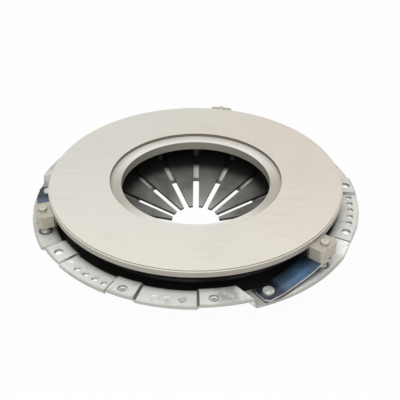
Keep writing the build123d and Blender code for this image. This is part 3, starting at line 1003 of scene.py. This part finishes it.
class CLUTCH_OT_diaphragm(bpy.types.Operator):
    """Makes the slotted, conical diaphragm spring."""
    bl_idname = "clutch.diaphragm"
    bl_label = "Diaphragm spring"

    window = (100.5 * MM, 119.6 * MM)
    cone = math.tan(math.radians(16.0))
    tip_z = -35.3 * MM
    first_slot = math.pi / 2
    rows = 26
    columns = 12

    def execute(self, context):
        s = context.scene.clutch_spring
        bm = bmesh.new()
        pitch = FULL_TURN / s.fingers
        self.finger(bm, s, pitch)
        spin(bm, everything(bm), FULL_TURN - pitch, s.fingers - 1, use_duplicate=True)
        merge(bm, 0.01 * MM)
        for v in bm.verts:
            v.co.z = self.height(s, math.hypot(v.co.x, v.co.y))
        face_out(bm)
        obj = piece("diaphragm_fingers", bm, [spring_steel(s)])
        thicken(obj, s.thickness)
        soften(obj, 0.4 * MM)
        fit(obj, "diaphragm_spring", COVER_BODY)
        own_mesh(obj)
        return {"FINISHED"}

    def height(self, s, radius):
        """Height of the middle of the sheet at a radius."""
        middle = s.thickness / 2 / math.cos(math.atan(self.cone))
        return self.tip_z - middle + (radius - s.tip_radius) * self.cone

    def finger(self, bm, s, pitch):
        """One flat finger between two half slots, with its share of the outer ring."""
        reach = s.outer_radius - s.tip_radius
        side = polyline(bm, [polar(s.tip_radius + reach * i / self.rows, self.first_slot)
                             for i in range(self.rows + 1)])
        spin(bm, side, pitch, self.columns)
        merge(bm, 0.001 * MM)
        slots = [polar(1.0, angle) for angle in (self.first_slot, self.first_slot + pitch)]
        for along, inward in zip(slots, (1, -1)):
            across = Vector((-along.y, along.x, 0)) * inward
            for half in (s.slot_width / 2, s.window_width / 2):
                cut(bm, everything(bm), across * half, across)
        for radius in self.window:
            for along in slots:
                cut(bm, everything(bm), along * radius, along)
        self.open_slots(bm, s, slots)

    def open_slots(self, bm, s, slots):
        """Removes the faces that lie in the half slots and half windows."""
        inner, outer = self.window
        gone = []
        for face in bm.faces:
            centre = face.calc_center_median()
            for along in slots:
                reach = centre.dot(along)
                aside = (centre - along * reach).length
                half = s.window_width / 2 if reach > inner else s.slot_width / 2
                if reach < outer and aside < half and face not in gone:
                    gone.append(face)
        bmesh.ops.delete(bm, geom=gone, context="FACES")


class CLUTCH_OT_pivots(bpy.types.Operator):
    """Makes the two pivot wires and the fifteen rivets that carry them."""
    bl_idname = "clutch.pivots"
    bl_label = "Pivot rings and rivets"

    wire_radius = 2.0 * MM
    pivot_circle = 121.0 * MM
    rivet_circle = 114.0 * MM
    # the rivet's radii and the height of its ends, in millimetres
    shank, head, tail, end_height = 4.5, 9.6, 6.5, 3.0

    def execute(self, context):
        wire = drawn_wire()
        for name in ("upper_pivot_ring", "lower_pivot_ring"):
            self.wire_ring(name, wire)
        self.rivets(context.scene.clutch_spring.fingers, wire)
        return {"FINISHED"}

    def wire_ring(self, node, material):
        bm = bmesh.new()
        bmesh.ops.create_circle(bm, segments=16, radius=self.wire_radius)
        rotate(bm, math.pi / 2, "X")
        move(bm, (self.pivot_circle, 0, sum(heights(node)) / 2))
        spin(bm, bm.verts[:] + bm.edges[:], FULL_TURN, 180, use_merge=True)
        face_out(bm)
        obj = piece(node.replace("ring", "wire"), bm, [material], sharp=60)
        fit(obj, node, COVER_BODY)

    def rivets(self, number, material):
        """One rivet for each slot, with its tail below and its head on top."""
        foot, top = heights("pivot_rivets")
        shank, head, tail, end = self.shank, self.head, self.tail, self.end_height
        section = outline(foot, (0, 0), (4.6, 0), (5.8, 0.5), (6.4, 1.6), (tail, end), (shank, end))
        section += outline(top, (shank, -end), (head, -end), (head, -1.4), (9.2, -0.5), (8.2, 0), (0, 0))
        bm = bmesh.new()
        for i in range(number):
            lathe(bm, section, polar(self.rivet_circle, math.pi / 2 + FULL_TURN / number * i))
        obj = piece("pivot_rivet_set", bm, [material])
        fit(obj, "pivot_rivets", COVER_BODY)


class CLUTCH_OT_straps(bpy.types.Operator):
    """Makes the three drive straps of three leaves each, which bend between cover and ring."""
    bl_idname = "clutch.straps"
    bl_label = "Drive straps"

    clearance = 0.05 * MM
    bow = 0.6
    cuts = 12
    taper_start = 26 * MM
    taper_length = 20 * MM

    def execute(self, context):
        s = context.scene.clutch_straps
        materials = [blued_steel(s), sheared_edge()]
        for key, angle in STATIONS.items():
            for layer, name in enumerate(LEAVES):
                self.leaf(s, "strap_" + key + "_" + name + "_leaf", angle, layer, materials)
        return {"FINISHED"}

    def leaf(self, s, node, angle, layer, materials):
        """One leaf, from its level on the cover up to its level under the lug."""
        seat = polar(SEAT_R, angle - SEAT_SWEEP)
        end = polar(LUG_BOLT_R, angle)
        along = end - seat
        length = along.length
        bm = self.sheet(s, length)
        low = STRAP_LEVEL + s.leaf * (layer + 0.5)
        high = LUG_UNDER_Z - self.clearance + s.leaf * (layer + 0.5 - len(LEAVES))
        for v in bm.verts:
            share = min(1.0, max(0.0, (v.co.x - s.seat_flat) / (length - s.seat_flat - s.lug_flat)))
            share += self.bow * (ease(share) - share)
            v.co.z = low + (high - low) * share
        rotate(bm, math.atan2(along.y, along.x))
        move(bm, seat)
        obj = piece(node.replace("leaf", "sheet"), bm, materials, sharp=50)
        thicken(obj, s.leaf, rim=1)
        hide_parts(node)
        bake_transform(obj)

    def sheet(self, s, length):
        """The flat strap with its corners cut, scored across so that it can bend."""
        bm = bmesh.new()
        first, last = -s.seat_end, length + s.lug_end
        bmesh.ops.create_grid(bm, x_segments=1, y_segments=1, size=0.5)
        bmesh.ops.scale(bm, verts=bm.verts, vec=(last - first, s.width, 1))
        move(bm, ((first + last) / 2, 0, 0))
        bevel(bm, bm.verts[:], s.corner, 1, affect="VERTICES")
        for i in range(self.cuts + 1):
            x = s.seat_flat + (length - s.seat_flat - s.lug_flat) * i / self.cuts
            cut(bm, everything(bm), (x, 0, 0), (1, 0, 0))
        for v in bm.verts:
            v.co.y *= 1 - (1 - s.lug_share) * ease((v.co.x - length + self.taper_start) / self.taper_length)
        face_out(bm)
        return bm


class CLUTCH_OT_rivets(bpy.types.Operator):
    """Makes the rivets that hold the straps to the lugs and to the cover."""
    bl_idname = "clutch.rivets"
    bl_label = "Strap rivets"

    # radii in millimetres
    shank, lug_head, seat_head, seat_tail = 4.0, 4.5, 6.0, 5.5

    def execute(self, context):
        steel = rivet_steel(context.scene.clutch_straps)
        for key, angle in STATIONS.items():
            self.lug_rivet("lug_rivet_" + key, angle, steel)
            self.seat_rivet("cover_strap_rivet_" + key, angle - SEAT_SWEEP, steel)
        return {"FINISHED"}

    def lug_rivet(self, node, angle, steel):
        """A dimpled head on the lug and a tail of the same width under the strap."""
        foot, top = heights(node)
        head, shank = self.lug_head, self.shank
        section = outline(foot, (0, 0), (3.7, 0), (head, 0.8))
        section += outline(LUG_UNDER_Z, (head, -2.2), (shank, -2.2))
        section += outline(LUG_TOP_Z, (shank, 0), (head, 0))
        section += outline(top, (head, -0.7), (4.3, -0.25), (3.8, 0), (1.2, 0), (0.9, -0.5), (0, -0.6))
        self.finish(node, section, polar(LUG_BOLT_R, angle), steel, PLATE_BODY)

    def seat_rivet(self, node, angle, steel):
        """A flat head on the strap and a rounded tail under the cover."""
        foot, top = heights(node)
        head, tail, shank = self.seat_head, self.seat_tail, self.shank
        section = outline(foot, (0, 0), (3.8, 0), (5.0, 0.7), (tail, 1.8), (tail, 2.6), (shank, 2.6))
        section += outline(top, (shank, -2), (head, -2), (head, -0.6), (5.8, -0.2), (5.3, 0), (0, 0))
        self.finish(node, section, polar(SEAT_R, angle), steel, COVER_BODY)

    def finish(self, node, section, place, steel, body):
        bm = bmesh.new()
        lathe(bm, section, place, steps=48)
        fit(piece(node + "_turned", bm, [steel]), node, body)


class CLUTCH_OT_stage(bpy.types.Operator):
    """Makes the pale floor, the soft lights, the even room light and the camera."""
    bl_idname = "clutch.stage"
    bl_label = "Stage"

    floor_gap = 0.02 * MM
    floor_glow = 0.96
    camera_place = (0.005540, -0.704403, 0.486114)
    camera_turn = (54.920326, -0.263660, 0.185162)
    camera_lens = 67.47993
    half_pixel = 0.00125

    def execute(self, context):
        s = context.scene.clutch_stage
        self.floor(s)
        self.room(context, s)
        self.lamp("Overhead light", (-0.2, -0.75, 1.25), 1.6, s.key_power)
        self.lamp("Front light", (0.5, -1.4, 0.6), 1.2, s.fill_power)
        self.lamp("Low front light", (-0.1, -1.0, 0.12), 0.5, s.low_power)
        self.camera(context)
        context.scene.view_settings.view_transform = "Standard"
        return {"FINISHED"}

    def floor(self, s):
        bm = bmesh.new()
        bmesh.ops.create_grid(bm, x_segments=1, y_segments=1, size=3.0)
        move(bm, (0, 0, CAD_BOX[0][2] - self.floor_gap))
        mesh = mesh_of("floor", bm)
        mesh.materials.append(self.floor_material(s))
        show("floor", mesh)

    def floor_material(self, s):
        """A matt floor that glows evenly where it is seen or mirrored."""
        material = bpy.data.materials.new("Pale floor")
        material.use_nodes = True
        nodes = Nodes(material.node_tree)
        matt = nodes.tree.nodes["Principled BSDF"]
        matt.inputs["Base Color"].default_value = (*s.floor_tint, 1)
        matt.inputs["Roughness"].default_value = 0.9
        glow = nodes.node("ShaderNodeEmission")
        glow.inputs["Strength"].default_value = 1.0
        share = nodes.times(nodes.seen(), self.floor_glow)
        mix = nodes.fill(nodes.node("ShaderNodeMixShader"), share, matt.outputs[0], glow.outputs[0])
        nodes.link(mix, nodes.tree.nodes["Material Output"].inputs["Surface"])
        return material

    def room(self, context, s):
        """An even room light that is white where it is seen or mirrored."""
        world = bpy.data.worlds.new("Room")
        context.scene.world = world
        world.use_nodes = True
        nodes = Nodes(world.node_tree)
        background = nodes.tree.nodes["Background"]
        background.inputs["Color"].default_value = (1, 1, 1, 1)
        lift = nodes.fill(nodes.node("ShaderNodeMapRange"), nodes.seen(), 0.0, 1.0, s.sky, 1.0)
        nodes.link(lift, background.inputs["Strength"])

    def lamp(self, name, place, width, power):
        """A square light that faces the part."""
        data = give(bpy.data.lights.new(name, "AREA"), shape="SQUARE", size=width, energy=power)
        obj = show(name, data)
        obj.location = place
        obj.rotation_euler = (-Vector(place)).to_track_quat("-Z", "Y").to_euler()

    def camera(self, context):
        data = give(bpy.data.cameras.new("Camera"), lens=self.camera_lens, sensor_width=36.0,
                    shift_x=-self.half_pixel, shift_y=self.half_pixel)
        obj = show("Camera", data)
        obj.location = self.camera_place
        obj.rotation_euler = [math.radians(angle) for angle in self.camera_turn]
        context.scene.camera = obj


class CLUTCH_PT_panel(bpy.types.Panel):
    """Lists the pieces and their settings."""
    bl_label = "Clutch pressure plate"
    bl_idname = "CLUTCH_PT_panel"
    bl_space_type = "VIEW_3D"
    bl_region_type = "UI"
    bl_category = "Clutch"

    def draw(self, context):
        for operator in OPERATORS:
            self.layout.operator(operator.bl_idname)
        for name, group in SETTINGS.items():
            box = self.layout.box()
            for key in group.__annotations__:
                box.prop(getattr(context.scene, name), key)


SETTINGS = {
    "clutch_casting": CastingSettings, "clutch_cover": CoverSettings, "clutch_spring": SpringSettings,
    "clutch_straps": StrapSettings, "clutch_stage": StageSettings,
}
OPERATORS = (
    CLUTCH_OT_stage, CLUTCH_OT_cover, CLUTCH_OT_pivots, CLUTCH_OT_diaphragm, CLUTCH_OT_casting,
    CLUTCH_OT_straps, CLUTCH_OT_rivets,
)


def register():
    for cls in (*SETTINGS.values(), *OPERATORS, CLUTCH_PT_panel):
        bpy.utils.register_class(cls)
    for name, group in SETTINGS.items():
        setattr(bpy.types.Scene, name, PointerProperty(type=group))


def unregister():
    for name in SETTINGS:
        delattr(bpy.types.Scene, name)
    for cls in reversed((*SETTINGS.values(), *OPERATORS, CLUTCH_PT_panel)):
        bpy.utils.unregister_class(cls)


def main():
    register()
    for operator in OPERATORS:
        group, name = operator.bl_idname.split(".")
        getattr(getattr(bpy.ops, group), name)()


if __name__ == "__main__":
    main()
